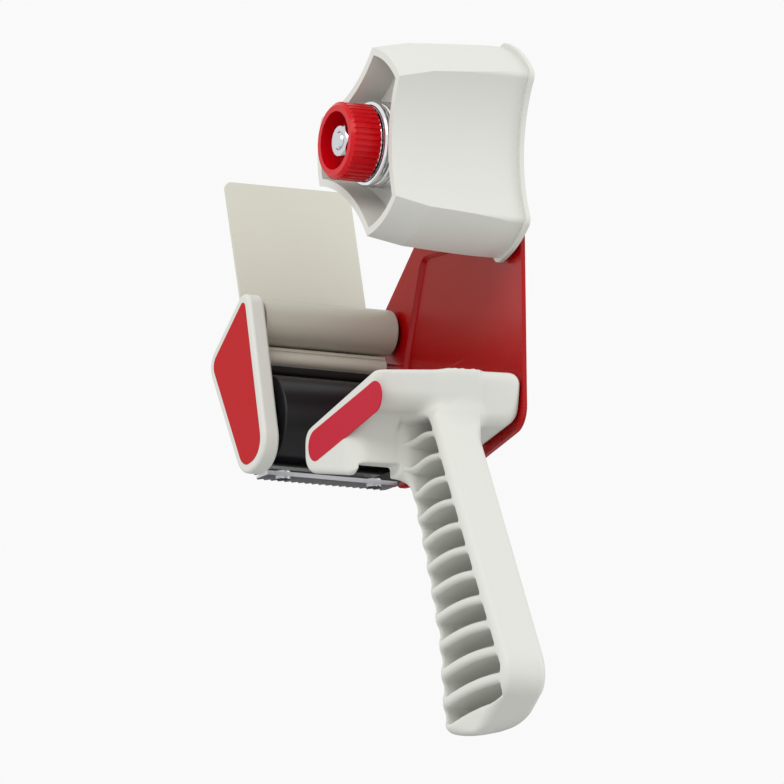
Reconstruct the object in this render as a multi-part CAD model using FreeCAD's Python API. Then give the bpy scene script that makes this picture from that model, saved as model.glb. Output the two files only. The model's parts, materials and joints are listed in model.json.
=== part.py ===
import FreeCAD, Part

import math
import os

# Hand-held packing-tape dispenser. Millimetres.
# +X is the back (the palm's side), -X the front where the tape leaves, +Y the steel side plate, +Z up.
# The origin is the pressing roller's axis where it meets the side plate's inner face.

# ---- Tape and overall layout -------------------------------------------------------------------
TAPE_WIDTH = 50.0
HUB_X = 67.5
HUB_Z = 79.0
GUIDE_X = -5.0
BACK_X = 83.0

# ---- Clearances --------------------------------------------------------------------------------
RUN_GAP = 0.05
BODY_GAP = 0.3
FLAP_ROLLER_GAP = 0.8
END_GAP = 0.8

# ---- Side plate --------------------------------------------------------------------------------
PLATE_T = 1.5
PLATE_LOW_SLOPE = 0.205
PLATE_LOW_Z = -12.0
PLATE_TURN_X = 38.0
PLATE_FRONT_LOW_Z = -18.0
PLATE_FRONT_ANGLE = 40.5
PLATE_TOP_RISE = 21.2
PLATE_FRONT_DISTANCE = 22.1
PLATE_TOP_CORNER_R = 22.5
PANEL_RISE = 1.2
PANEL_SLANT = 1.1
PANEL_BACK_X = 64.5

# ---- Pressing roller ---------------------------------------------------------------------------
PRESS_R = 15.0
PRESS_CORE_R = 11.5
PRESS_AXLE_R = 4.0
ROLLER_PLATE_GAP = 1.6
ROLLER_WEB_T = 4.0

# ---- Guide roller ------------------------------------------------------------------------------
GUIDE_R = 7.6
GUIDE_RIM_WALL = 1.6
GUIDE_AXLE_R = 3.0

# ---- Flap --------------------------------------------------------------------------------------
FLAP_T = 1.0
FLAP_WIDTH = 46.0
FLAP_LEAN = 14.3
FLAP_FOOT_ANGLE = 280.0
FLAP_LENGTH = 54.0
FLAP_ROD_R = 1.4
FLAP_BARREL_R = 2.5
FLAP_BARREL_LAP = 0.5
FLAP_CORNER_R = 2.5
TAPE_BAR_X = -4.0
TAPE_BAR_R = 1.65
TAPE_BAR_GAP = 1.45

# ---- Side guard --------------------------------------------------------------------------------
GUARD_T = 5.8
GUARD_EDGE_R = 1.2
GUARD_LABEL_INSET = 2.8
GUARD_SOCKET_DEPTH = 2.5
GUARD_RISE = 11.2
GUARD_SKIRT = 4.4
GUARD_BACK_MARGIN = 0.4
LABEL_T = 0.35
LABEL_PROUD = 0.1

# ---- Axle screws -------------------------------------------------------------------------------
SCREW_R = 1.5
SCREW_HEAD_R = 3.0
SCREW_HEAD_T = 1.0
SCREW_BITE = 8.0
SCREW_SLOT = 0.7
COUNTERSINK_DEPTH = 2.0
GUARD_SCREW_SINK = 0.2

# ---- Hub and its brake -------------------------------------------------------------------------
HUB_LENGTH = 46.0
HUB_TIP_R = 35.3
HUB_TIP_HALF_ANGLE = 18.0
HUB_WAIST_R = 20.0
HUB_DRAFT = 2.6
HUB_DRAFT_START = 6.0
HUB_LEAD_LENGTH = 12.0
HUB_LEAD_DROP = 1.8
HUB_WALL = 2.4
HUB_BOSS_R = 8.0
HUB_PLATE_GAP = 1.5
HUB_FLANGE_T = 1.5
HUB_FLANGE_LIP = 1.3
HUB_WEB_SET_IN = 10.5
HUB_WEB_T = 2.4
HUB_RIB_T = 2.0
HUB_EDGE_R = 2.0
HUB_SLIT_WIDTH = 4.0
HUB_SLIT_LENGTH = 9.0
LOBE_ANGLES = (55.0, 175.0, 295.0)
HUB_SLIT_FROM_RIB = 1.0
HUB_SLIT_FROM_WALL = 2.0
STUD_SHOULDER_R = 4.0
STUD_THREAD_R = 3.0
STUD_HEAD_R = 7.0
WASHER_T = 1.0
BRAKE_WASHER_R = 13.0
SPRING_WIRE_R = 1.3
SPRING_BRIDGE_R = 1.04
SPRING_OUTER_R = 14.0
SPRING_COILS = 3
SPRING_HEIGHT = 8.4
SPRING_END_GAP = 0.1
CUP_T = 0.8

# ---- Knob --------------------------------------------------------------------------------------
KNOB_R = 12.6
CUP_R = 11.6
CUP_COLLAR_R = 7.0
CUP_COLLAR_HEIGHT = 2.0
KNOB_LENGTH = 10.5
KNOB_RECESS_R = 9.5
KNOB_RECESS_DEPTH = 6.5
KNOB_RIBS = 40
KNOB_RIB_DEPTH = 0.4
KNOB_CHAMFER = 1.2
NUT_FLATS = 10.0
NUT_T = 8.0
NUT_BEVEL = 0.9
NUT_BEVEL_RUN = 0.9
NUT_POCKET_DEPTH = 3.2
STUD_PAST_NUT = 0.6

# ---- Handle ------------------------------------------------------------------------------------
HEAD_WIDTH = 50.0
HEAD_FRONT_X = 26.4
HEAD_TOP_Z = 4.6
HEAD_TOP_SLOPE = 0.219
HEAD_FRONT_DEPTH = 14.0
HEAD_LOW_SLOPE = 0.2
HEAD_WALL = 2.5
HEAD_FRONT_R = 5.8
HEAD_CORNER_ZONE = 4.5
HEAD_CORNER_R = 3.0
HEAD_BACK_LOW_Z = -17.0
SHOULDER_TOP_X = 80.0
SHOULDER_SLOPE = 0.551
BELOW_HEAD_Z = -60.0
PAST_BACK_X = BACK_X + 20.0
HEAD_CAVITY_BACK_X = 54.0
NOTCH_WIDTH = 13.0
NOTCH_FAR_Y = -47.0
NOTCH_TOP_Z = -24.0
NOTCH_DEPTH = 12.0
GRIP_PLATE_OFFSET = 13.6
GRIP_T = 15.8
GRIP_FLOOR = 2.5
GRIP_FRONT_WALL = 1.9
GRIP_BACK_WALL = 4.8
GRIP_BACK_X = 74.26
GRIP_FRONT_X = 52.08
GRIP_BACK_SLOPE = 0.516
GRIP_FRONT_SLOPE = 0.331
GRIP_ROOT_Z = -6.0
GRIP_BOTTOM_Z = -120.5
GRIP_HEEL_X = 124.9
POCKETS = 12
POCKET_PITCH = 7.9
POCKET_PITCH_GROWTH = 0.155
POCKET_HEIGHT = 5.9
FIRST_POCKET_Z = -14.0
POCKET_LEAN = 1.5
HANDLE_LABEL_LENGTH = 51.0
HANDLE_LABEL_HEIGHT = 10.4
HANDLE_LABEL_BORDER = 3.0
HANDLE_SCREW_XZ = ((62.0, -6.0), (76.0, -3.0))
BOSS_R = 4.0
HEAD_FRONT_SCREW_XZ = (36.0, -11.5)

# ---- Blade carrier and blade -------------------------------------------------------------------
CARRIER_T = 1.0
CARRIER_ROLLER_GAP = 1.1
CARRIER_FRONT_X = -5.0
CARRIER_TURN_X = 7.0
CARRIER_ARM_WIDTH = 14.0
CARRIER_BACK_X = 50.0
CARRIER_TAB_FRONT_X = 9.0
CARRIER_TAB_HEIGHT = 8.0
CARRIER_TAB_LAP = 0.3
CARRIER_SCREW_X = (20.0, 45.5)
CARRIER_SCREW_RISE = 2.4
CARRIER_SCREW_PROUD = 1.0
CARRIER_TAB_LEAD = 2.0
CARRIER_TAB_R = 1.5
NEAR_WALL_LOW_Z = -15.7
NEAR_WALL_SLOPE = 0.205
BLADE_T = 0.7
BLADE_REACH = 3.6
BLADE_OVERLAP = 6.0
BLADE_TOOTH_PITCH = 2.5
BLADE_TOOTH_DEPTH = 1.8
BLADE_WIDTH = 47.5
BLADE_RIVET_OFFSET = 0.35 * BLADE_WIDTH
BLADE_RIVET_R = 1.25
BLADE_RIVET_HEAD_R = 2.4
BLADE_RIVET_HEAD_T = 0.6

# ---- Derived places ----------------------------------------------------------------------------
guard_inner_y = -(TAPE_WIDTH + ROLLER_PLATE_GAP)
guard_outer_y = guard_inner_y - GUARD_T
roller_near_y = -ROLLER_PLATE_GAP
roller_far_y = guard_inner_y + ROLLER_PLATE_GAP
flange_y = -HUB_PLATE_GAP
hub_near_y = flange_y - HUB_FLANGE_T
hub_far_y = hub_near_y - HUB_LENGTH
web_far_y = hub_far_y + HUB_WEB_SET_IN
web_near_y = web_far_y + HUB_WEB_T
brake_washer_y = web_far_y - 0.1
spring_y = brake_washer_y - WASHER_T
cup_y = spring_y - SPRING_HEIGHT
knob_y = cup_y - CUP_T
knob_front_y = knob_y - KNOB_LENGTH
nut_back_y = knob_front_y + KNOB_RECESS_DEPTH + NUT_POCKET_DEPTH
nut_front_y = nut_back_y - NUT_T
tape_bar_z = math.sqrt((PRESS_R + TAPE_BAR_GAP + TAPE_BAR_R) ** 2 - TAPE_BAR_X**2)
flap_rod_z = tape_bar_z + TAPE_BAR_R + BODY_GAP + FLAP_BARREL_R
guide_z = flap_rod_z + FLAP_BARREL_R - FLAP_BARREL_LAP + FLAP_T + FLAP_ROLLER_GAP + GUIDE_R
carrier_z = -PRESS_R - CARRIER_ROLLER_GAP
grip_near_y = -GRIP_PLATE_OFFSET
grip_far_y = grip_near_y - GRIP_T
OVER = 1.0
ALONG_Y = FreeCAD.Vector(0, 1, 0)


def point(x, z, y=0.0):
    return FreeCAD.Vector(x, y, z)


def rounded_wire(corners, y=0.0):
    """Closed wire in an XZ plane. Each corner is (x, z, radius)."""
    edges = []
    spans = []
    count = len(corners)
    for i in range(count):
        x, z, radius = corners[i]
        here = point(x, z, y)
        before = point(*corners[i - 1][:2], y) - here
        after = point(*corners[(i + 1) % count][:2], y) - here
        if radius <= 0:
            spans.append((here, here, here))
            continue
        half = before.getAngle(after) / 2
        back = radius / math.tan(half)
        start = here + before.normalize() * back
        end = here + after.normalize() * back
        inward = (start + end) * 0.5 - here
        middle = here + inward.normalize() * (radius / math.sin(half) - radius)
        spans.append((start, middle, end))
    for i in range(count):
        start, middle, end = spans[i]
        following = spans[(i + 1) % count][0]
        if start.distanceToPoint(end) > 1e-6:
            edges.append(Part.Arc(start, middle, end).toShape())
        if end.distanceToPoint(following) > 1e-6:
            edges.append(Part.LineSegment(end, following).toShape())
    return Part.Wire(edges)


def prism(corners, y_start, y_end):
    """Rounded XZ outline extruded between two Y planes."""
    face = Part.Face(rounded_wire(corners, y_start))
    return face.extrude(FreeCAD.Vector(0, y_end - y_start, 0))


def rod(x, z, radius, y_start, y_end):
    low = min(y_start, y_end)
    return Part.makeCylinder(radius, abs(y_end - y_start), FreeCAD.Vector(x, low, z), ALONG_Y)


def ring(x, z, outer, inner, y_start, y_end):
    body = rod(x, z, outer, y_start, y_end)
    return body.cut(rod(x, z, inner, min(y_start, y_end) - OVER, max(y_start, y_end) + OVER))


def outer_rims(body, radius):
    """The circular edges of the given radius round a turned body's ends."""
    circles = [e for e in body.Edges if e.BoundBox.YLength < 0.01]
    return [e for e in circles if abs(e.BoundBox.XLength - 2 * radius) < 0.01]


def hexagon(x, z, across_flats, y_start, y_end):
    corner = across_flats / math.sqrt(3)
    corners = [
        (x + corner * math.cos(math.radians(60 * i)), z + corner * math.sin(math.radians(60 * i)), 0)
        for i in range(6)
    ]
    return prism(corners, y_start, y_end)


def joined(shapes):
    """One solid from several that overlap or share faces."""
    body = shapes[0].fuse(shapes[1:])
    return body.removeSplitter()


def polar(radius, degrees):
    return HUB_X + radius * math.cos(math.radians(degrees)), HUB_Z + radius * math.sin(math.radians(degrees))


def low_edge_z(x):
    """The side plate's slanting lower edge, behind its turn."""
    return PLATE_LOW_Z + (x - BACK_X) * PLATE_LOW_SLOPE


def near_wall_low_z(x):
    """Lower edge of the handle's wall against the plate, above the blade carrier's tab."""
    return NEAR_WALL_LOW_Z + (x - HEAD_FRONT_X) * NEAR_WALL_SLOPE


def head_top_z(x):
    return HEAD_TOP_Z + (x - BACK_X) * HEAD_TOP_SLOPE


def head_low_z(x):
    return head_top_z(HEAD_FRONT_X) - HEAD_FRONT_DEPTH - (x - HEAD_FRONT_X) * HEAD_LOW_SLOPE


# ---- Side plate --------------------------------------------------------------------------------
def panel_corners(inset):
    """The pressed panel's foot, drawn in by inset."""
    return [
        (-1.0 + inset, 15.0 + inset, 5.0),
        (44.0, 15.0 + inset, 14.0),
        (PANEL_BACK_X - inset, 34.0, 12.0),
        (PANEL_BACK_X - inset, 54.0 - inset, 8.0),
        (14.5 + inset, 56.0 - inset, 5.0),
    ]


def panel_block(start_y, inset):
    """A block as tall as the panel's rise, with slanting sides."""
    body = prism(panel_corners(inset), start_y, start_y + PANEL_RISE)
    top = [e for e in body.Edges if e.BoundBox.YMin > start_y + PANEL_RISE - 0.01]
    return body.makeChamfer(PANEL_SLANT, top)


def axle_screw_places():
    return [(0.0, 0.0), (GUIDE_X, guide_z)]


def carrier_screw_places():
    return [(x, carrier_z + CARRIER_SCREW_RISE) for x in CARRIER_SCREW_X]


def side_plate():
    rise = math.tan(math.radians(PLATE_FRONT_ANGLE))
    top_z = HUB_Z + PLATE_TOP_RISE
    edge_drop = PLATE_FRONT_DISTANCE / math.cos(math.radians(PLATE_FRONT_ANGLE))
    top_x = HUB_X + (top_z - HUB_Z - edge_drop) / rise
    front_x = -19.0
    front_z = HUB_Z + edge_drop + (front_x - HUB_X) * rise
    outline = [
        (BACK_X, low_edge_z(BACK_X), 8.0),
        (PLATE_TURN_X, low_edge_z(PLATE_TURN_X), 20.0),
        (-3.0, PLATE_FRONT_LOW_Z, 4.0),
        (-11.0, 10.0, 12.0),
        (front_x, front_z, 5.0),
        (top_x, top_z, PLATE_TOP_CORNER_R),
        (BACK_X, top_z, 12.0),
    ]
    plate = prism(outline, 0.0, PLATE_T)
    plate = plate.fuse(panel_block(PLATE_T, 0.0))
    plate = plate.cut(panel_block(0.0, PLATE_T * 0.5))
    plate = plate.cut(rod(HUB_X, HUB_Z, STUD_SHOULDER_R, -OVER, PLATE_T + OVER))
    for x, z in axle_screw_places() + carrier_screw_places():
        plate = plate.cut(rod(x, z, SCREW_R + RUN_GAP, -OVER, PLATE_T + OVER))
    for x, z in HANDLE_SCREW_XZ + (HEAD_FRONT_SCREW_XZ,):
        plate = plate.cut(rod(x, z, SCREW_R + RUN_GAP, -OVER, PLATE_T + OVER))
    return plate.removeSplitter()


# ---- Screws ------------------------------------------------------------------------------------
def plate_screw(x, z, bite):
    """A low-headed screw that enters from the side plate's outer face."""
    head = rod(x, z, SCREW_HEAD_R, PLATE_T, PLATE_T + SCREW_HEAD_T)
    shank = rod(x, z, SCREW_R, PLATE_T, -bite)
    slot = Part.makeBox(SCREW_HEAD_R * 1.2, SCREW_HEAD_T, SCREW_SLOT)
    slot.translate(FreeCAD.Vector(x - SCREW_HEAD_R * 0.6, PLATE_T + SCREW_HEAD_T * 0.5, z - SCREW_SLOT / 2))
    return joined([head, shank]).cut(slot)


def guard_screw():
    """A countersunk screw that enters the pressing roller's axle through the side guard, under the label."""
    face_y = guard_outer_y + LABEL_T - LABEL_PROUD + GUARD_SCREW_SINK
    cone = Part.makeCone(
        SCREW_HEAD_R, SCREW_R, COUNTERSINK_DEPTH, FreeCAD.Vector(0, face_y, 0), FreeCAD.Vector(0, 1, 0)
    )
    shank = rod(0, 0, SCREW_R, face_y + COUNTERSINK_DEPTH, guard_inner_y + SCREW_BITE)
    return joined([cone, shank])


def press_axle():
    """The axle that the guard is screwed to, drilled at both ends."""
    body = rod(0, 0, PRESS_AXLE_R, 0.0, guard_inner_y)
    body = body.cut(rod(0, 0, SCREW_R, OVER, -SCREW_BITE))
    return body.cut(rod(0, 0, SCREW_R, guard_inner_y - OVER, guard_inner_y + SCREW_BITE))


def guide_axle():
    """Pressed into a socket in the guard and screwed through the plate."""
    body = rod(GUIDE_X, guide_z, GUIDE_AXLE_R, 0.0, guard_inner_y - GUARD_SOCKET_DEPTH)
    return body.cut(rod(GUIDE_X, guide_z, SCREW_R, OVER, -SCREW_BITE))


def socketed_rod(x, z, radius):
    """A thin rod from the plate into a socket in the guard."""
    return rod(x, z, radius, 0.0, guard_inner_y - GUARD_SOCKET_DEPTH)


# ---- Rollers -----------------------------------------------------------------------------------
def press_sleeve():
    body = ring(0, 0, PRESS_R, PRESS_CORE_R, roller_near_y, roller_far_y)
    rims = outer_rims(body, PRESS_R)
    return body.makeFillet(0.6, rims)


def roller_body(x, z, outer, bore, wall, sleeve_wall):
    """A moulded roller: a rim and a bearing tube, joined by one web half way along."""
    body = ring(x, z, outer, bore, roller_near_y, roller_far_y)
    middle = (roller_near_y + roller_far_y) / 2
    half_web = ROLLER_WEB_T / 2
    for end, web in ((roller_near_y + OVER, middle + half_web), (roller_far_y - OVER, middle - half_web)):
        body = body.cut(ring(x, z, outer - wall, bore + sleeve_wall, end, web))
    return body


def press_core():
    return roller_body(0, 0, PRESS_CORE_R, PRESS_AXLE_R + RUN_GAP, 2.0, 2.0)


def side_washer(x, z, radius, axle_radius, y_start):
    """Thrust washer between a roller's end and the part beside it."""
    thickness = ROLLER_PLATE_GAP - END_GAP
    return ring(x, z, radius, axle_radius + RUN_GAP, y_start, y_start - thickness)


def thrust_washers(x, z, radius, axle_radius):
    thickness = ROLLER_PLATE_GAP - END_GAP
    near = side_washer(x, z, radius, axle_radius, 0.0)
    far = side_washer(x, z, radius, axle_radius, guard_inner_y + thickness)
    return Part.makeCompound([near, far])


def guide_roller():
    body = roller_body(GUIDE_X, guide_z, GUIDE_R, GUIDE_AXLE_R + RUN_GAP, GUIDE_RIM_WALL, 1.2)
    rims = outer_rims(body, GUIDE_R)
    return body.makeFillet(0.5, rims)


# ---- Flap --------------------------------------------------------------------------------------
def flap():
    """J-shaped sheet: a barrel on its rod, a curve round the guide roller and a flat leaning forward."""
    inner_r = GUIDE_R + FLAP_ROLLER_GAP
    outer_r = inner_r + FLAP_T
    lean = math.radians(FLAP_LEAN)
    tangent = math.pi + lean
    foot = math.radians(FLAP_FOOT_ANGLE)
    middle = (tangent + foot) / 2

    def on_ring(radius, angle):
        return point(GUIDE_X + radius * math.cos(angle), guide_z + radius * math.sin(angle), y_start)

    y_end = -(TAPE_WIDTH - FLAP_WIDTH) / 2 - ROLLER_PLATE_GAP
    y_start = y_end - FLAP_WIDTH
    along = point(-math.sin(lean), math.cos(lean)) * FLAP_LENGTH
    inner_top = on_ring(inner_r, tangent) + along
    outer_top = on_ring(outer_r, tangent) + along
    outline = [
        Part.LineSegment(inner_top, on_ring(inner_r, tangent)).toShape(),
        Part.Arc(on_ring(inner_r, tangent), on_ring(inner_r, middle), on_ring(inner_r, foot)).toShape(),
        Part.LineSegment(on_ring(inner_r, foot), on_ring(outer_r, foot)).toShape(),
        Part.Arc(on_ring(outer_r, foot), on_ring(outer_r, middle), on_ring(outer_r, tangent)).toShape(),
        Part.LineSegment(on_ring(outer_r, tangent), outer_top).toShape(),
        Part.LineSegment(outer_top, inner_top).toShape(),
    ]
    sheet = Part.Face(Part.Wire(outline)).extrude(FreeCAD.Vector(0, FLAP_WIDTH, 0))
    across = [e for e in sheet.Edges if e.Length < FLAP_T * 1.01]
    corners = [e for e in across if e.CenterOfMass.z > inner_top.z - 1.5 * FLAP_T]
    sheet = sheet.makeFillet(FLAP_CORNER_R, [e for e in corners if e.BoundBox.YLength < 0.01])
    barrel = rod(GUIDE_X, flap_rod_z, FLAP_BARREL_R, y_start, y_end)
    body = joined([sheet, barrel])
    return body.cut(rod(GUIDE_X, flap_rod_z, FLAP_ROD_R + RUN_GAP, y_start - OVER, y_end + OVER))


# ---- Side guard --------------------------------------------------------------------------------
guard_corners = [
    (2.8, guide_z + GUARD_RISE, 4.6),
    (-25.4, guide_z - GUARD_RISE, 7.0),
    (-2.6, -PRESS_R - GUARD_SKIRT, 9.0),
    (PRESS_R + GUARD_BACK_MARGIN, -PRESS_R - GUARD_BACK_MARGIN, 10.0),
]


def guard_face(inset):
    face = Part.Face(rounded_wire(guard_corners, guard_outer_y))
    if inset == 0:
        return face
    return Part.Face(face.makeOffset2D(-inset).Wires[0])


def side_guard():
    body = guard_face(0).extrude(FreeCAD.Vector(0, GUARD_T, 0))
    rim = [e for e in body.Edges if e.BoundBox.YLength < 0.01]
    body = body.makeFillet(GUARD_EDGE_R, rim)
    pocket_depth = LABEL_T - LABEL_PROUD
    body = body.cut(guard_face(GUARD_LABEL_INSET).extrude(FreeCAD.Vector(0, pocket_depth, 0)))
    sockets = [
        (GUIDE_X, guide_z, GUIDE_AXLE_R),
        (GUIDE_X, flap_rod_z, FLAP_ROD_R),
        (TAPE_BAR_X, tape_bar_z, TAPE_BAR_R),
    ]
    for x, z, radius in sockets:
        body = body.cut(rod(x, z, radius, guard_inner_y + OVER, guard_inner_y - GUARD_SOCKET_DEPTH))
    body = body.cut(rod(0, 0, SCREW_R, guard_outer_y - OVER, guard_inner_y + OVER))
    body = body.cut(guard_screw())
    return body.cut(rod(0, 0, SCREW_HEAD_R, guard_outer_y, guard_outer_y + pocket_depth + GUARD_SCREW_SINK))


def guard_label():
    body = guard_face(GUARD_LABEL_INSET + RUN_GAP).extrude(FreeCAD.Vector(0, LABEL_T, 0))
    body.translate(FreeCAD.Vector(0, -LABEL_PROUD, 0))
    return body


# ---- Hub ---------------------------------------------------------------------------------------
def hub_face(y, grow):
    """Three rounded tips on one circle, joined by hollow sides; grow moves the whole outline outward."""
    half = HUB_TIP_HALF_ANGLE
    edges = []
    for i, lobe in enumerate(LOBE_ANGLES):
        following = LOBE_ANGLES[(i + 1) % 3] + (360.0 if i == 2 else 0.0)
        start = point(*polar(HUB_TIP_R, lobe - half), y)
        tip = point(*polar(HUB_TIP_R, lobe), y)
        end = point(*polar(HUB_TIP_R, lobe + half), y)
        waist = point(*polar(HUB_WAIST_R, (lobe + following) / 2), y)
        beyond = point(*polar(HUB_TIP_R, following - half), y)
        edges.append(Part.Arc(start, tip, end).toShape())
        edges.append(Part.Arc(end, waist, beyond).toShape())
    shrunk = Part.Face(Part.Wire(edges)).makeOffset2D(-HUB_EDGE_R)
    return Part.Face(shrunk.makeOffset2D(HUB_EDGE_R + grow).Wires[0])


def hub_block(y_start, y_end, grow):
    """The outline between two Y planes, its tips narrowing along a cone towards the free end."""
    block = hub_face(y_start, grow).extrude(FreeCAD.Vector(0, y_end - y_start, 0))
    slope = HUB_DRAFT / (HUB_LENGTH - HUB_DRAFT_START)
    lead_slope = slope + HUB_LEAD_DROP / HUB_LEAD_LENGTH
    full_r_y = hub_near_y - HUB_DRAFT_START
    high_y = flange_y + 2 * OVER
    lead_y = hub_far_y + HUB_LEAD_LENGTH
    low_y = hub_far_y - 2 * OVER
    high_r = HUB_TIP_R + grow + slope * (high_y - full_r_y)
    lead_r = HUB_TIP_R + grow - slope * (full_r_y - lead_y)
    low_r = lead_r - lead_slope * (lead_y - low_y)
    along = FreeCAD.Vector(0, 1, 0)
    wide = Part.makeCone(lead_r, high_r, high_y - lead_y, FreeCAD.Vector(HUB_X, lead_y, HUB_Z), along)
    lead = Part.makeCone(low_r, lead_r, lead_y - low_y, FreeCAD.Vector(HUB_X, low_y, HUB_Z), along)
    return block.common(wide.fuse(lead))


def hub():
    shell = hub_block(hub_near_y, hub_far_y, 0)
    shell = shell.cut(hub_block(hub_near_y + OVER, hub_far_y - OVER, -HUB_WALL))
    flange = hub_block(flange_y, hub_near_y, HUB_FLANGE_LIP)
    flange = flange.cut(hub_block(flange_y + OVER, hub_near_y - OVER, -HUB_WALL))
    inside = hub_block(flange_y, web_far_y, -HUB_WALL / 2)
    web = hub_block(web_near_y, web_far_y, -HUB_WALL / 2)
    boss = rod(HUB_X, HUB_Z, HUB_BOSS_R, flange_y, web_far_y)
    parts = [shell, flange, web, boss]
    for lobe in LOBE_ANGLES:
        rib = Part.makeBox(HUB_TIP_R, flange_y - web_near_y, HUB_RIB_T)
        rib.translate(FreeCAD.Vector(0, web_near_y, -HUB_RIB_T / 2))
        rib.rotate(FreeCAD.Vector(0, 0, 0), FreeCAD.Vector(0, 1, 0), -lobe)
        rib.translate(point(HUB_X, HUB_Z))
        parts.append(rib.common(inside))
    body = joined(parts)
    slit_start = HUB_TIP_R - HUB_DRAFT - HUB_WALL - HUB_SLIT_FROM_WALL - HUB_SLIT_LENGTH
    for lobe in LOBE_ANGLES:
        for side in (-1, 1):
            slit = Part.makeBox(HUB_SLIT_LENGTH, HUB_WEB_T + 2 * OVER, HUB_SLIT_WIDTH)
            middle = side * (HUB_RIB_T / 2 + HUB_SLIT_FROM_RIB + HUB_SLIT_WIDTH / 2)
            slit.translate(FreeCAD.Vector(slit_start, web_far_y - OVER, middle - HUB_SLIT_WIDTH / 2))
            slit.rotate(FreeCAD.Vector(0, 0, 0), FreeCAD.Vector(0, 1, 0), -lobe)
            slit.translate(point(HUB_X, HUB_Z))
            body = body.cut(slit)
    return body.cut(rod(HUB_X, HUB_Z, STUD_SHOULDER_R + RUN_GAP, OVER, web_far_y - OVER))


def hub_stud():
    """Stud staked flush into the plate, with a plain shoulder for the hub and an M6 thread beyond."""
    root = rod(HUB_X, HUB_Z, STUD_SHOULDER_R, PLATE_T, spring_y)
    thread = rod(HUB_X, HUB_Z, STUD_THREAD_R, spring_y, nut_front_y - STUD_PAST_NUT)
    end = [e for e in thread.Edges if abs(e.CenterOfMass.y - (nut_front_y - STUD_PAST_NUT)) < 0.01]
    return joined([root, thread.makeChamfer(0.5, end)])


def plate_washer():
    return ring(HUB_X, HUB_Z, STUD_HEAD_R, STUD_SHOULDER_R, 0.0, -(HUB_PLATE_GAP - BODY_GAP))


def brake_washer():
    return ring(HUB_X, HUB_Z, BRAKE_WASHER_R, STUD_SHOULDER_R, brake_washer_y, spring_y)


def tension_spring():
    """Coils as closed rings, each joined to the next by a short bridge on alternate sides."""
    mean_r = SPRING_OUTER_R - SPRING_WIRE_R
    pitch = (SPRING_HEIGHT - 2 * SPRING_WIRE_R - 2 * SPRING_END_GAP) / (SPRING_COILS - 1)
    first_y = spring_y - SPRING_END_GAP - SPRING_WIRE_R
    parts = []
    for i in range(SPRING_COILS):
        centre = FreeCAD.Vector(HUB_X, first_y - i * pitch, HUB_Z)
        parts.append(Part.makeTorus(mean_r, SPRING_WIRE_R, centre, FreeCAD.Vector(0, 1, 0)))
    for i in range(SPRING_COILS - 1):
        bridge_x = HUB_X + mean_r * (1 if i % 2 else -1)
        y = first_y - i * pitch
        parts.append(rod(bridge_x, HUB_Z, SPRING_BRIDGE_R, y, y - pitch))
    return joined(parts)


def spring_cup():
    """Dished washer between the spring's outer end and the knob."""
    disc = ring(HUB_X, HUB_Z, CUP_R, STUD_THREAD_R + BODY_GAP, cup_y, knob_y)
    collar = ring(HUB_X, HUB_Z, CUP_COLLAR_R, STUD_THREAD_R + BODY_GAP, cup_y + CUP_COLLAR_HEIGHT, cup_y)
    return joined([disc, collar])


# ---- Knob --------------------------------------------------------------------------------------
def tension_knob():
    body = rod(HUB_X, HUB_Z, KNOB_R, knob_y, knob_front_y)
    front = [e for e in body.Edges if abs(e.CenterOfMass.y - knob_front_y) < 0.01]
    body = body.makeChamfer(KNOB_CHAMFER, front)
    groove_r = KNOB_RIB_DEPTH
    grooves = []
    for i in range(KNOB_RIBS):
        x, z = polar(KNOB_R, 360.0 * i / KNOB_RIBS)
        grooves.append(rod(x, z, groove_r, knob_y + OVER, knob_front_y - OVER))
    body = body.cut(grooves)
    body = body.cut(rod(HUB_X, HUB_Z, KNOB_RECESS_R, knob_front_y - OVER, knob_front_y + KNOB_RECESS_DEPTH))
    body = body.cut(hexagon(HUB_X, HUB_Z, NUT_FLATS, nut_back_y, knob_front_y))
    return body.cut(rod(HUB_X, HUB_Z, STUD_THREAD_R + BODY_GAP, knob_y + OVER, knob_front_y))


def knob_nut():
    body = hexagon(HUB_X, HUB_Z, NUT_FLATS, nut_back_y, nut_front_y)
    corner_r = NUT_FLATS / math.sqrt(3)
    bevel = Part.makeCone(
        corner_r - NUT_BEVEL, corner_r, NUT_BEVEL_RUN, FreeCAD.Vector(HUB_X, nut_front_y, HUB_Z), ALONG_Y
    )
    rest = rod(HUB_X, HUB_Z, corner_r, nut_front_y + NUT_BEVEL_RUN, nut_back_y)
    body = body.common(joined([bevel, rest]))
    return body.cut(rod(HUB_X, HUB_Z, STUD_THREAD_R + RUN_GAP, nut_front_y - OVER, nut_back_y + OVER))


# ---- Handle ------------------------------------------------------------------------------------
def grip_back_x(z):
    return GRIP_BACK_X - z * GRIP_BACK_SLOPE


def grip_front_x(z):
    return GRIP_FRONT_X - z * GRIP_FRONT_SLOPE


def shoulder_x(z):
    """The head's back on the far side of the grip, slanting forward as it goes down."""
    return SHOULDER_TOP_X - (HEAD_TOP_Z - z) * SHOULDER_SLOPE


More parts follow.
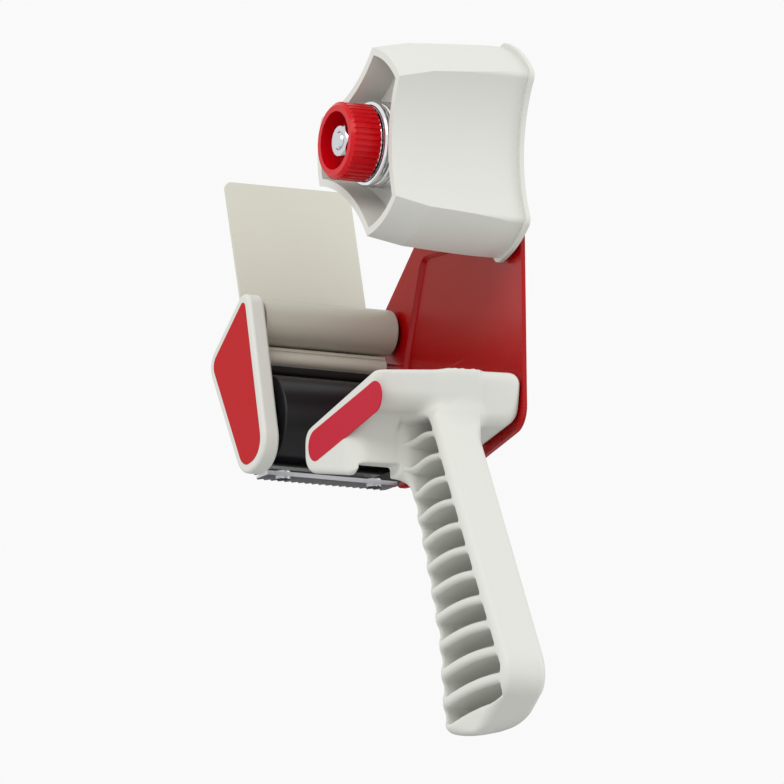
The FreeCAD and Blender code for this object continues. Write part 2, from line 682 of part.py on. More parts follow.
def handle_outer():
    low_turn_x = HEAD_CAVITY_BACK_X + 8.0
    head = prism(
        [
            (HEAD_FRONT_X, head_top_z(HEAD_FRONT_X), HEAD_FRONT_R),
            (BACK_X, HEAD_TOP_Z, 4.0),
            (BACK_X, HEAD_BACK_LOW_Z, 3.0),
            (low_turn_x, head_low_z(low_turn_x), 2.0),
            (HEAD_FRONT_X, head_low_z(HEAD_FRONT_X), HEAD_FRONT_R),
        ],
        -HEAD_WIDTH,
        -BODY_GAP,
    )
    flat = [e for e in head.Edges if e.BoundBox.YLength < 0.01 and e.CenterOfMass.y < -HEAD_WIDTH + 0.1]
    head = head.makeFillet(HEAD_CORNER_R, [e for e in flat if e.BoundBox.XMax > BACK_X - HEAD_CORNER_ZONE])
    shoulder = prism(
        [
            (shoulder_x(HEAD_TOP_Z + OVER), HEAD_TOP_Z + OVER, 0),
            (shoulder_x(BELOW_HEAD_Z), BELOW_HEAD_Z, 0),
            (PAST_BACK_X, BELOW_HEAD_Z, 0),
            (PAST_BACK_X, HEAD_TOP_Z + OVER, 0),
        ],
        -HEAD_WIDTH - OVER,
        grip_far_y,
    )
    head = head.cut(shoulder)
    near_cut = prism(
        [
            (HEAD_CAVITY_BACK_X, BELOW_HEAD_Z, 0),
            (HEAD_CAVITY_BACK_X, low_edge_z(HEAD_CAVITY_BACK_X), 0),
            (BACK_X - 4.0, low_edge_z(BACK_X) + 1.5, 4.0),
            (PAST_BACK_X, low_edge_z(BACK_X) + 9.0, 0),
            (PAST_BACK_X, BELOW_HEAD_Z, 0),
        ],
        grip_near_y,
        OVER,
    )
    head = head.cut(near_cut)
    root_x = HEAD_CAVITY_BACK_X + 1.0
    bend_z = GRIP_BOTTOM_Z + 23.0
    heel_z = GRIP_BOTTOM_Z + 6.5
    grip = prism(
        [
            (root_x, GRIP_ROOT_Z, 0),
            (grip_back_x(GRIP_ROOT_Z), GRIP_ROOT_Z, 0),
            (grip_back_x(bend_z), bend_z, 16.0),
            (GRIP_HEEL_X, heel_z, 7.0),
            (GRIP_HEEL_X - 18.9, GRIP_BOTTOM_Z, 14.0),
            (grip_front_x(GRIP_BOTTOM_Z), GRIP_BOTTOM_Z, 6.0),
            (grip_front_x(-30.0), -30.0, 12.0),
            (root_x, -22.0, 3.0),
        ],
        grip_near_y,
        grip_far_y,
    )
    return joined([head, grip])


def grip_pockets():
    pockets = []
    for i in range(POCKETS):
        middle = FIRST_POCKET_Z - i * POCKET_PITCH - POCKET_PITCH_GROWTH * i * (i - 1) / 2
        low = middle - POCKET_HEIGHT / 2
        high = middle + POCKET_HEIGHT / 2
        front = max(grip_front_x(low), HEAD_CAVITY_BACK_X + 1.0) + GRIP_FRONT_WALL
        back = min(grip_back_x(high), GRIP_HEEL_X) - GRIP_BACK_WALL
        corners = [(front, high, 0.8), (back, high, 0.8), (back + POCKET_LEAN, low, 0.8), (front, low, 0.8)]
        pockets.append(prism(corners, grip_far_y - OVER, grip_near_y - GRIP_FLOOR))
    return pockets


def handle_label_corners(grow):
    """Capsule parallel to the head's top edge, near the front of the far wall."""
    angle = math.atan(HEAD_TOP_SLOPE)
    radius = HANDLE_LABEL_HEIGHT / 2 + grow
    drop = HANDLE_LABEL_BORDER + HANDLE_LABEL_HEIGHT / 2
    start_x = HEAD_FRONT_X + HANDLE_LABEL_BORDER + HANDLE_LABEL_HEIGHT / 2 + 0.6
    start = point(start_x, head_top_z(start_x) - drop / math.cos(angle))
    along = point(math.cos(angle), math.sin(angle))
    across = point(-math.sin(angle), math.cos(angle))
    end = start + along * (HANDLE_LABEL_LENGTH - HANDLE_LABEL_HEIGHT)
    first = start - along * radius
    last = end + along * radius
    side = across * radius
    corners = [first + side, last + side, last - side, first - side]
    return [(c.x, c.z, radius * 0.98) for c in corners]


def handle():
    body = handle_outer()
    open_x = HEAD_FRONT_X - 10.0
    cavity = prism(
        [
            (open_x, head_top_z(open_x) - HEAD_WALL, 0),
            (HEAD_CAVITY_BACK_X, head_top_z(HEAD_CAVITY_BACK_X) - HEAD_WALL, 3.0),
            (HEAD_CAVITY_BACK_X, BELOW_HEAD_Z, 0),
            (open_x, BELOW_HEAD_Z, 0),
        ],
        -HEAD_WIDTH + HEAD_WALL,
        -BODY_GAP - HEAD_WALL,
    )
    body = body.cut(cavity)
    near_wall_trim = prism(
        [
            (open_x, BELOW_HEAD_Z, 0),
            (open_x, near_wall_low_z(open_x), 0),
            (HEAD_CAVITY_BACK_X, near_wall_low_z(HEAD_CAVITY_BACK_X), 0),
            (HEAD_CAVITY_BACK_X, BELOW_HEAD_Z, 0),
        ],
        -BODY_GAP - HEAD_WALL - OVER,
        OVER,
    )
    body = body.cut(near_wall_trim)
    notch = Part.makeBox(NOTCH_DEPTH, NOTCH_WIDTH, NOTCH_TOP_Z - BELOW_HEAD_Z)
    notch.translate(FreeCAD.Vector(HEAD_CAVITY_BACK_X - OVER, NOTCH_FAR_Y, BELOW_HEAD_Z))
    body = body.cut(notch)
    boss = rod(*HEAD_FRONT_SCREW_XZ, BOSS_R, -BODY_GAP - HEAD_WALL, -SCREW_BITE - 2.0)
    body = joined([body, boss])
    body = body.cut(grip_pockets())
    label_depth = LABEL_T - LABEL_PROUD
    body = body.cut(prism(handle_label_corners(RUN_GAP), -HEAD_WIDTH - OVER, -HEAD_WIDTH + label_depth))
    for x, z in HANDLE_SCREW_XZ + (HEAD_FRONT_SCREW_XZ,):
        body = body.cut(rod(x, z, SCREW_R, OVER, -SCREW_BITE - 0.5))
    return body


def handle_label():
    return prism(handle_label_corners(0.0), -HEAD_WIDTH - LABEL_PROUD, -HEAD_WIDTH - LABEL_PROUD + LABEL_T)


# ---- Blade carrier and blade -------------------------------------------------------------------
def blade_carrier():
    """Strip under the pressing roller, an arm back into the handle and a tab up the side plate."""
    low_z = carrier_z - CARRIER_T
    front = Part.makeBox(CARRIER_TURN_X - CARRIER_FRONT_X, -guard_inner_y, CARRIER_T)
    front.translate(FreeCAD.Vector(CARRIER_FRONT_X, guard_inner_y, low_z))
    arm = Part.makeBox(CARRIER_BACK_X - CARRIER_TURN_X, CARRIER_ARM_WIDTH, CARRIER_T)
    arm.translate(FreeCAD.Vector(CARRIER_TURN_X, -CARRIER_ARM_WIDTH, low_z))
    tab_top_z = carrier_z + CARRIER_TAB_HEIGHT
    tab = prism(
        [
            (CARRIER_TAB_FRONT_X, low_z, 0),
            (CARRIER_TAB_FRONT_X + CARRIER_TAB_LEAD, tab_top_z, CARRIER_TAB_R),
            (CARRIER_BACK_X, tab_top_z, CARRIER_TAB_R),
            (CARRIER_BACK_X, low_z, 0),
        ],
        -CARRIER_T,
        0.0,
    )
    body = joined([front, arm, tab.cut(handle_boss_room())])
    for x, z in carrier_screw_places():
        body = body.cut(rod(x, z, SCREW_R, OVER, -CARRIER_T - OVER))
    return body


def handle_boss_room():
    """The carrier's tab is cut away round the handle's near wall and boss."""
    front_x = HEAD_FRONT_X - OVER
    return prism(
        [
            (front_x, near_wall_low_z(front_x) - CARRIER_TAB_LAP, 0),
            (HEAD_CAVITY_BACK_X, near_wall_low_z(HEAD_CAVITY_BACK_X) - CARRIER_TAB_LAP, 0),
            (HEAD_CAVITY_BACK_X, HEAD_TOP_Z, 0),
            (front_x, HEAD_TOP_Z, 0),
        ],
        -CARRIER_T - OVER,
        OVER,
    )


def blade():
    """Flat strip under the carrier's front edge, its teeth pointing forward."""
    top_z = carrier_z - CARRIER_T
    teeth = int(BLADE_WIDTH / BLADE_TOOTH_PITCH)
    first_y = -(TAPE_WIDTH + ROLLER_PLATE_GAP + teeth * BLADE_TOOTH_PITCH) / 2
    start_x = CARRIER_FRONT_X + BLADE_OVERLAP
    tip_x = CARRIER_FRONT_X - BLADE_REACH
    root_x = tip_x + BLADE_TOOTH_DEPTH
    corners = [point(start_x, top_z, first_y), point(root_x, top_z, first_y)]
    for i in range(teeth):
        corners.append(point(tip_x, top_z, first_y + (i + 0.5) * BLADE_TOOTH_PITCH))
        corners.append(point(root_x, top_z, first_y + (i + 1) * BLADE_TOOTH_PITCH))
    corners.append(point(start_x, top_z, first_y + teeth * BLADE_TOOTH_PITCH))
    corners.append(corners[0])
    body = Part.Face(Part.makePolygon(corners)).extrude(FreeCAD.Vector(0, 0, -BLADE_T))
    for centre in blade_rivet_centres():
        body = body.cut(Part.makeCylinder(BLADE_RIVET_R, 2 * OVER, centre + FreeCAD.Vector(0, 0, -OVER)))
    return body


def blade_rivet_centres():
    """Where the rivets' shanks start, on the carrier's underside."""
    middle_y = -(TAPE_WIDTH + ROLLER_PLATE_GAP) / 2
    x = CARRIER_FRONT_X + BLADE_OVERLAP / 2
    return [point(x, carrier_z - CARRIER_T, middle_y + y) for y in (-BLADE_RIVET_OFFSET, BLADE_RIVET_OFFSET)]


def blade_rivets():
    """Two low rivets that hold the blade under the carrier."""
    down = FreeCAD.Vector(0, 0, -1)
    rivets = []
    for centre in blade_rivet_centres():
        shank = Part.makeCylinder(BLADE_RIVET_R, BLADE_T, centre, down)
        head = Part.makeCylinder(BLADE_RIVET_HEAD_R, BLADE_RIVET_HEAD_T, centre + down * BLADE_T, down)
        rivets.append(joined([shank, head]))
    return Part.makeCompound(rivets)


# ---- Every node --------------------------------------------------------------------------------
PARTS = {
    "frame_plate": side_plate(),
    "hub_stud": hub_stud(),
    "hub_plate_washer": plate_washer(),
    "tape_hub": hub(),
    "brake_washer": brake_washer(),
    "tension_spring": tension_spring(),
    "spring_cup": spring_cup(),
    "tension_knob": tension_knob(),
    "knob_nut": knob_nut(),
    "press_roller_sleeve": press_sleeve(),
    "press_roller_core": press_core(),
    "press_roller_axle": press_axle(),
    "press_roller_washers": thrust_washers(0.0, 0.0, PRESS_AXLE_R + 3.0, PRESS_AXLE_R),
    "guide_roller": guide_roller(),
    "guide_roller_axle": guide_axle(),
    "guide_roller_washers": thrust_washers(GUIDE_X, guide_z, GUIDE_AXLE_R + 2.0, GUIDE_AXLE_R),
    "flap": flap(),
    "flap_rod": socketed_rod(GUIDE_X, flap_rod_z, FLAP_ROD_R),
    "tape_bar": socketed_rod(TAPE_BAR_X, tape_bar_z, TAPE_BAR_R),
    "side_guard": side_guard(),
    "side_guard_label": guard_label(),
    "guard_screw": guard_screw(),
    "axle_screws": Part.makeCompound([plate_screw(x, z, SCREW_BITE) for x, z in axle_screw_places()]),
    "handle": handle(),
    "handle_label": handle_label(),
    "handle_screws": Part.makeCompound(
        [plate_screw(x, z, SCREW_BITE) for x, z in HANDLE_SCREW_XZ + (HEAD_FRONT_SCREW_XZ,)]
    ),
    "blade_carrier": blade_carrier(),
    "carrier_screws": Part.makeCompound(
        [plate_screw(x, z, CARRIER_T + CARRIER_SCREW_PROUD) for x, z in carrier_screw_places()]
    ),
    "blade": blade(),
    "blade_rivets": blade_rivets(),
}

os.makedirs("parts", exist_ok=True)
for name, shape in PARTS.items():
    shape.exportStep(os.path.join("parts", name + ".step"))
    box = shape.BoundBox
    print(
        f"{name:22s} solids {len(shape.Solids)} valid {shape.isValid()} volume {shape.Volume:10.1f} "
        f"x {box.XMin:7.1f} {box.XMax:7.1f} "
        f"y {box.YMin:7.1f} {box.YMax:7.1f} z {box.ZMin:7.1f} {box.ZMax:7.1f}"
    )
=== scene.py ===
import json
import math

import bpy
import numpy as np
from mathutils import Matrix, Vector


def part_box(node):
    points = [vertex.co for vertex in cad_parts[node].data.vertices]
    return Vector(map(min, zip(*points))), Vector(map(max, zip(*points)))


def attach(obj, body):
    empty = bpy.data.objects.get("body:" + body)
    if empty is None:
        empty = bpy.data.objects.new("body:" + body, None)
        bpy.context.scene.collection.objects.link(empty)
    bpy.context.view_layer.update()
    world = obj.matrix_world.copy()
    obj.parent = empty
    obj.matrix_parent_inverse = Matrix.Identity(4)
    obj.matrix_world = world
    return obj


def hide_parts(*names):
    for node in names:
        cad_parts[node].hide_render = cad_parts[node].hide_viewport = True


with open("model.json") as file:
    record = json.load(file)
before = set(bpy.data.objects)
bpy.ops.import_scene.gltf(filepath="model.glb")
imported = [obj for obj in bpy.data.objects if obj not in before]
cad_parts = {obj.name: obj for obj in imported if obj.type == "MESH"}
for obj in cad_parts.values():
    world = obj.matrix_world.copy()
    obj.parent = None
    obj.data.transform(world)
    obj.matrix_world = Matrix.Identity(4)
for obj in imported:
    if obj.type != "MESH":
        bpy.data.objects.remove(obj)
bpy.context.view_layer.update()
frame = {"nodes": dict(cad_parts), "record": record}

# Looks of a hand-held packing-tape dispenser. Shapes below are written in millimetres in the frame's axes
# (+X back, +Y side plate, +Z up) and turned into metres when a mesh is made.
MM = 0.001


def box_mm(node):
    low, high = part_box(node)
    return np.array(low) / MM, np.array(high) / MM


# ---- Distance fields: negative inside, in millimetres ------------------------------------------
def rounded_corners(corners, steps=8):
    """Outline points of a polygon whose corners are (x, z, radius)."""
    points = []
    count = len(corners)
    for i in range(count):
        here = np.array(corners[i][:2])
        radius = corners[i][2]
        before = np.array(corners[i - 1][:2]) - here
        after = np.array(corners[(i + 1) % count][:2]) - here
        before /= np.linalg.norm(before)
        after /= np.linalg.norm(after)
        half = math.acos(np.clip(before @ after, -1, 1)) / 2
        back = radius / math.tan(half)
        inward = before + after
        centre = here + inward / np.linalg.norm(inward) * radius / math.sin(half)
        first = here + before * back - centre
        last = here + after * back - centre
        start = math.atan2(first[1], first[0])
        sweep = (math.atan2(last[1], last[0]) - start + math.pi) % (2 * math.pi) - math.pi
        for t in np.linspace(0, 1, steps if radius > 0 else 1):
            angle = start + sweep * t
            points.append(centre + radius * np.array([math.cos(angle), math.sin(angle)]))
    return points


def polygon(points):
    """Signed distance in the XZ plane to a closed polygon."""
    points = [tuple(p) for p in points]
    sides = list(zip(points, points[1:] + points[:1]))

    def distance(x, z):
        nearest = np.inf
        inside = False
        for (ax, az), (bx, bz) in sides:
            ex, ez = bx - ax, bz - az
            length = ex * ex + ez * ez
            if length < 1e-12:
                continue
            t = np.clip(((x - ax) * ex + (z - az) * ez) / length, 0, 1)
            nearest = np.minimum(nearest, (x - ax - ex * t) ** 2 + (z - az - ez * t) ** 2)
            if abs(ez) > 1e-12:
                inside = inside ^ (((z >= az) != (z >= bz)) & (x < ax + ex * (z - az) / ez))
        return np.where(inside, -1.0, 1.0) * np.sqrt(nearest)

    return distance


def both(a, b, radius=0.0):
    """Where a and b overlap; their shared edge gets that radius."""
    if radius <= 0:
        return np.maximum(a, b)
    a = a + radius
    b = b + radius
    return np.minimum(np.maximum(a, b), 0) + np.sqrt(np.maximum(a, 0) ** 2 + np.maximum(b, 0) ** 2) - radius


def soft_both(a, b, width):
    h = np.clip(0.5 - 0.5 * (b - a) / width, 0, 1)
    return b + (a - b) * h + width * h * (1 - h)


def soft_join(a, b, width):
    return -soft_both(-a, -b, width)


def without(a, b, radius=0.0):
    return both(a, -b, radius)


def slab(value, low, high):
    return np.maximum(low - value, value - high)


# ---- Mesh of a distance field ------------------------------------------------------------------
CELL_CORNERS = [(i, j, k) for i in (0, 1) for j in (0, 1) for k in (0, 1)]
CELL_EDGES = [
    (a, b)
    for a in range(8)
    for b in range(a + 1, 8)
    if sum(p != q for p, q in zip(CELL_CORNERS[a], CELL_CORNERS[b])) == 1
]


def surface_points(distance, low, high, step):
    """Vertices and quads of the zero surface on a grid of cubes, each vertex moved onto the surface."""
    axes = [np.arange(a - 2 * step, b + 3 * step, step) for a, b in zip(low, high)]
    shape = tuple(len(a) for a in axes)
    grid = np.broadcast_to(distance(*np.meshgrid(*axes, indexing="ij", sparse=True)), shape)
    inside = grid < 0
    cells = tuple(n - 1 for n in shape)
    count = np.zeros(cells, np.int8)
    for i, j, k in CELL_CORNERS:
        count += inside[i : i + cells[0], j : j + cells[1], k : k + cells[2]]
    where = np.nonzero((count > 0) & (count < 8))
    values = np.stack([grid[where[0] + i, where[1] + j, where[2] + k] for i, j, k in CELL_CORNERS], 1)
    corners = np.array(CELL_CORNERS, float)
    total = np.zeros((len(values), 3))
    hits = np.zeros(len(values))
    for a, b in CELL_EDGES:
        crosses = (values[:, a] < 0) != (values[:, b] < 0)
        span = np.where(crosses, values[:, a] - values[:, b], 1.0)
        t = (values[:, a] / span)[:, None]
        total += np.where(crosses[:, None], corners[a] + (corners[b] - corners[a]) * t, 0)
        hits += crosses
    points = (np.stack(where, 1) + total / hits[:, None]) * step + np.array([a[0] for a in axes])
    index = np.full(cells, -1, np.int64)
    index[where] = np.arange(len(points))
    quads = []
    for axis in range(3):
        one = np.eye(3, dtype=int)[axis]
        near = inside[: shape[0] - one[0], : shape[1] - one[1], : shape[2] - one[2]]
        far = inside[one[0] :, one[1] :, one[2] :]
        i = np.stack(np.nonzero(near != far), 1)
        others = [o for o in range(3) if o != axis]
        keep = np.all((i[:, others] > 0) & (i[:, others] < np.array(cells)[others]), 1)
        i = i[keep]
        u, v = np.eye(3, dtype=int)[others[0]], np.eye(3, dtype=int)[others[1]]
        ring = [index[tuple((i - a * u - b * v).T)] for a, b in ((0, 0), (1, 0), (1, 1), (0, 1))]
        quad = np.stack(ring, 1)
        flip = near[tuple(i.T)] == (axis == 1)
        quad[flip] = quad[flip][:, ::-1]
        quads.append(quad)
    small = step * 0.02
    for _ in range(3):
        x, y, z = points.T
        here = distance(x, y, z)
        slope = np.stack(
            [
                distance(x + small, y, z) - distance(x - small, y, z),
                distance(x, y + small, z) - distance(x, y - small, z),
                distance(x, y, z + small) - distance(x, y, z - small),
            ],
            1,
        ) / (2 * small)
        steep = np.maximum((slope**2).sum(1), 0.25)
        move = slope * (here / steep)[:, None]
        far_off = np.linalg.norm(move, axis=1)
        points = points - move * np.minimum(1, 0.5 * step / np.maximum(far_off, 1e-9))[:, None]
    return points, np.concatenate(quads)


def mesh_piece(name, points, faces, smooth_angle=35.0):
    """An object from points in millimetres."""
    mesh = bpy.data.meshes.new(name)
    mesh.from_pydata((np.asarray(points) * MM).tolist(), [], np.asarray(faces).tolist())
    mesh.validate()
    mesh.shade_smooth()
    mesh.set_sharp_from_angle(angle=math.radians(smooth_angle))
    piece = bpy.data.objects.new(name, mesh)
    bpy.context.scene.collection.objects.link(piece)
    return piece


def field_piece(name, distance, low, high, step, body, node, material, smooth_angle=35.0):
    """A detailed piece that stands for one CAD node."""
    points, faces = surface_points(distance, low, high, step)
    piece = mesh_piece(name, points, faces, smooth_angle)
    piece.data.materials.append(material)
    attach(piece, body)
    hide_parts(node)
    return piece


# ---- Materials ---------------------------------------------------------------------------------
def material(name, colour, roughness, metallic=0.0, coat=0.0, grain=0.0, grain_scale=900.0, **more):
    """A finish with a fine grain: noise moves its roughness and tone a little and raises a bump."""
    made = bpy.data.materials.new(name)
    made.use_nodes = True
    nodes = made.node_tree.nodes
    links = made.node_tree.links
    shader = nodes["Principled BSDF"]
    shader.inputs["Metallic"].default_value = metallic
    shader.inputs["Coat Weight"].default_value = coat
    shader.inputs["Coat Roughness"].default_value = 0.08
    shader.inputs["Specular IOR Level"].default_value = more.get("specular", 0.5)
    place = nodes.new("ShaderNodeTexCoord")
    stretch = nodes.new("ShaderNodeMapping")
    stretch.inputs["Scale"].default_value = more.get("stretch", (1.0, 1.0, 1.0))
    links.new(place.outputs["Object"], stretch.inputs["Vector"])
    cloud = nodes.new("ShaderNodeTexNoise")
    cloud.inputs["Scale"].default_value = more.get("cloud_scale", 45.0)
    cloud.inputs["Detail"].default_value = 5.0
    links.new(stretch.outputs["Vector"], cloud.inputs["Vector"])
    tone = nodes.new("ShaderNodeMix")
    tone.data_type = "RGBA"
    shade = more.get("shade", 0.94)
    tone.inputs["A"].default_value = (*[c * shade for c in colour], 1.0)
    tone.inputs["B"].default_value = (*colour, 1.0)
    links.new(cloud.outputs["Fac"], tone.inputs["Factor"])
    links.new(tone.outputs["Result"], shader.inputs["Base Color"])
    rough = nodes.new("ShaderNodeMapRange")
    spread = more.get("spread", 0.05)
    rough.inputs["To Min"].default_value = max(roughness - spread, 0.02)
    rough.inputs["To Max"].default_value = roughness + spread
    links.new(cloud.outputs["Fac"], rough.inputs["Value"])
    links.new(rough.outputs["Result"], shader.inputs["Roughness"])
    if grain > 0:
        fine = nodes.new("ShaderNodeTexNoise")
        fine.inputs["Scale"].default_value = grain_scale
        fine.inputs["Detail"].default_value = 3.0
        links.new(stretch.outputs["Vector"], fine.inputs["Vector"])
        bump = nodes.new("ShaderNodeBump")
        bump.inputs["Strength"].default_value = grain
        bump.inputs["Distance"].default_value = more.get("grain_depth", 0.00005)
        links.new(fine.outputs["Fac"], bump.inputs["Height"])
        links.new(bump.outputs["Normal"], shader.inputs["Normal"])
    return made


WHITE = material(
    "white_plastic", (0.64, 0.645, 0.60), 0.42, grain=0.35, grain_scale=1400.0, shade=0.97, specular=0.35
)
RED_PAINT = material(
    "red_paint",
    (0.36, 0.001, 0.002),
    0.24,
    coat=0.12,
    grain=0.25,
    grain_scale=260.0,
    grain_depth=0.0001,
    specular=0.2,
)
RED_PLASTIC = material("red_plastic", (0.56, 0.001, 0.006), 0.26, coat=0.1, grain=0.15, specular=0.2)
RED_LABEL = material("red_label", (0.47, 0.006, 0.010), 0.42, grain=0.1, specular=0.08)
CRIMSON_LABEL = material("crimson_label", (0.49, 0.008, 0.028), 0.40, grain=0.1, specular=0.08)
BLACK_RUBBER = material(
    "black_rubber",
    (0.008, 0.008, 0.010),
    0.34,
    grain=0.2,
    stretch=(1.0, 0.12, 1.0),
    spread=0.08,
    specular=0.3,
)
BLACK_PLASTIC = material("black_plastic", (0.012, 0.012, 0.012), 0.5, grain=0.2, specular=0.2)
GREY_PLASTIC = material(
    "grey_plastic", (0.48, 0.475, 0.40), 0.3, grain=0.15, stretch=(1.0, 0.1, 1.0), specular=0.4
)
FLAP_SHEET = material(
    "flap_sheet", (0.60, 0.595, 0.51), 0.45, grain=0.2, stretch=(1.0, 0.15, 1.0), specular=0.3
)
CHROME = material("chrome", (0.80, 0.81, 0.83), 0.07, metallic=1.0, spread=0.03)
ZINC = material("zinc", (0.66, 0.68, 0.71), 0.2, metallic=1.0, grain=0.3, grain_scale=500.0, spread=0.08)
BLADE_STEEL = material(
    "blade_steel", (0.62, 0.63, 0.65), 0.3, metallic=1.0, stretch=(1.0, 0.08, 1.0), spread=0.1
)

SLOT_MATERIALS = {
    "red_paint": RED_PAINT,
    "white_plastic": WHITE,
    "red_plastic": RED_PLASTIC,
    "red_label": RED_LABEL,
    "black_rubber": BLACK_RUBBER,
    "black_plastic": BLACK_PLASTIC,
    "grey_plastic": GREY_PLASTIC,
    "flap_sheet": FLAP_SHEET,
    "chrome": CHROME,
    "zinc": ZINC,
    "blade_steel": BLADE_STEEL,
}
for part in frame["record"]["subparts"]:
    node = frame["nodes"][part["node"]]
    node.data.materials.clear()
    node.data.materials.append(SLOT_MATERIALS[part["material_slot"]])
frame["nodes"]["handle_label"].data.materials[0] = CRIMSON_LABEL


# ---- Handle ------------------------------------------------------------------------------------
handle_low, handle_high = box_mm("handle")
FAR_Y, NEAR_Y = handle_low[1], handle_high[1]
HEEL_X = handle_high[0]
GRIP_FOOT_Z = handle_low[2]
LABEL_RIM = 3.6
HEAD_FRONT_X = box_mm("handle_label")[0][0] - LABEL_RIM
BACK_X = box_mm("frame_plate")[1][0]

# The head is a block on the label's side and a block on the plate's side, blended into one.
HEAD_TOP_BACK_Z = 6.2
TOP_SLOPE = 0.247
HEAD_FRONT_HEIGHT = 14.0
LOW_SLOPE = 0.2
NEAR_BACK_X = BACK_X + 2.0
NEAR_BACK_LOW_Z = -10.5
FAR_BACK_X = BACK_X + 6.0
FAR_EDGE_R = 2.0
FAR_BACK_R = 2.5
FAR_CORNER_R = 4.5
FAR_BLOCK_LAP = 2.0
NEAR_EDGE_R = 4.5
NEAR_BACK_R = 3.0
NEAR_BLOCK_LAP = 3.0
BLOCK_BLEND = 5.0
TOP_EDGE_R = 2.0

# Inside the head, and the notch in its lower edge.
ROOF_T = 2.6
SIDE_WALL_T = 2.5
CAVITY_FRONT_LAP = 8.0
CAVITY_BACK_X = 55.0
CAVITY_R = 1.5
CAVITY_EDGE_R = 0.5
NEAR_WALL_LOW_Z = -15.7
NEAR_WALL_SLOPE = 0.205
FAR_WALL_KEPT = 10.0
NEAR_WALL_EDGE_R = 0.4
NOTCH_Y = (-47.0, -34.0)
NOTCH_Z = -24.0
NOTCH_R = 1.0
NOTCH_LAP = 5.0

# The arch between the label's wall and the grip.
WALL_END_X = 59.0
WALL_END_SLOPE = 0.24
ARCH_Z = -8.5
ARCH_R = 8.0
WALL_CORNER_R = 6.0
SCOOP_LAP = 4.0

# The grip, its foot and the pockets between its ribs.
GRIP_Y = (-30.4, -14.6)
GRIP_BACK_X, GRIP_BACK_Z = 82.0, -15.0
GRIP_BACK_SLOPE = 0.516
GRIP_TOP_Z = -9.0
GRIP_EDGE_R = 3.2
GRIP_BLEND = 6.0
FOOT_FAR_Z = -120.3
FOOT_TILT = 0.34
FOOT_EDGE_R = 3.5
POCKET_COUNT = 12
POCKET_PITCH = 7.9
POCKET_PITCH_GROWTH = 0.155
POCKET_HALF = 2.9
POCKET_RIM = 1.4
POCKET_BACK_WALL = 4.8
POCKET_CORNER_R = 2.2
POCKET_END_R = 1.0
POCKET_EDGE_R = 1.6
POCKET_OPENING = 4.0
FIRST_POCKET_Z = -14.0
POCKET_FLOOR_Y = -16.1
POCKET_FRONT_X = 63.5
RIB_RISE = 1.6
RIB_BOW = 1.3
RIB_FRONT_X, RIB_FRONT_Z = 66.0, -31.0
RIB_FRONT_SLOPE = 0.25
RIB_BACK_INSET = 5.0


def head_top(x):
    return HEAD_TOP_BACK_Z + (x - BACK_X) * TOP_SLOPE


def head_low(x):
    return head_top(HEAD_FRONT_X) - HEAD_FRONT_HEIGHT - (x - HEAD_FRONT_X) * LOW_SLOPE


def grip_back(z):
    return GRIP_BACK_X - (z - GRIP_BACK_Z) * GRIP_BACK_SLOPE


near_profile = polygon(
    rounded_corners(
        [
            (HEAD_FRONT_X, head_top(HEAD_FRONT_X), 5.5),
            (NEAR_BACK_X, head_top(BACK_X), 4.0),
            (NEAR_BACK_X, NEAR_BACK_LOW_Z, 6.0),
            (HEAD_FRONT_X, head_low(HEAD_FRONT_X), 2.0),
        ]
    )
)
far_profile = polygon(
    rounded_corners(
        [
            (HEAD_FRONT_X, head_top(HEAD_FRONT_X), 6.5),
            (FAR_BACK_X, head_top(FAR_BACK_X), 1.0),
            (FAR_BACK_X, head_low(FAR_BACK_X), 1.0),
            (HEAD_FRONT_X, head_low(HEAD_FRONT_X), 6.5),
        ]
    )
)
grip_profile = polygon(
    rounded_corners(
        [
            (56.0, GRIP_TOP_Z, 1.0),
            (grip_back(GRIP_TOP_Z), GRIP_TOP_Z, 1.0),
            (grip_back(-97.5), -97.5, 16.0),
            (HEEL_X, -106.0, 9.0),
            (103.5, GRIP_FOOT_Z, 5.0),
            (81.0, GRIP_FOOT_Z + 6.0, 6.0),
            (78.0, -84.0, 40.0),
            (69.0, -55.0, 60.0),
            (60.5, -31.0, 12.0),
            (56.0, -20.0, 3.0),
        ]
    )
)


def plane(through, normal):
    """Signed distance to a plane, positive on the side its normal points to."""
    n = np.array(normal, float)
    n /= np.linalg.norm(n)
    return lambda x, y, z: (x - through[0]) * n[0] + (y - through[1]) * n[1] + (z - through[2]) * n[2]


head_back = plane((76.6, FAR_Y, 4.1), (0.957, -0.165, -0.255))
grip_back_plane = plane((GRIP_BACK_X, 0.0, GRIP_BACK_Z), (1.0, 0.0, GRIP_BACK_SLOPE))


def off_pocket_row(x, z):
    """Height from the nearest row of pockets, whose ribs bow upwards and rise towards the back."""
    front_x = RIB_FRONT_X - (z - RIB_FRONT_Z) * RIB_FRONT_SLOPE
    back_x = grip_back(z) - RIB_BACK_INSET
    across = np.clip((x - front_x) / (back_x - front_x), 0.0, 1.0)
    level = z - RIB_RISE * across - RIB_BOW * 4.0 * across * (1.0 - across)
    rows = [
        FIRST_POCKET_Z - i * POCKET_PITCH - POCKET_PITCH_GROWTH * i * (i - 1) / 2
        for i in range(POCKET_COUNT)
    ]
    return np.minimum.reduce([np.abs(level - row) for row in rows])


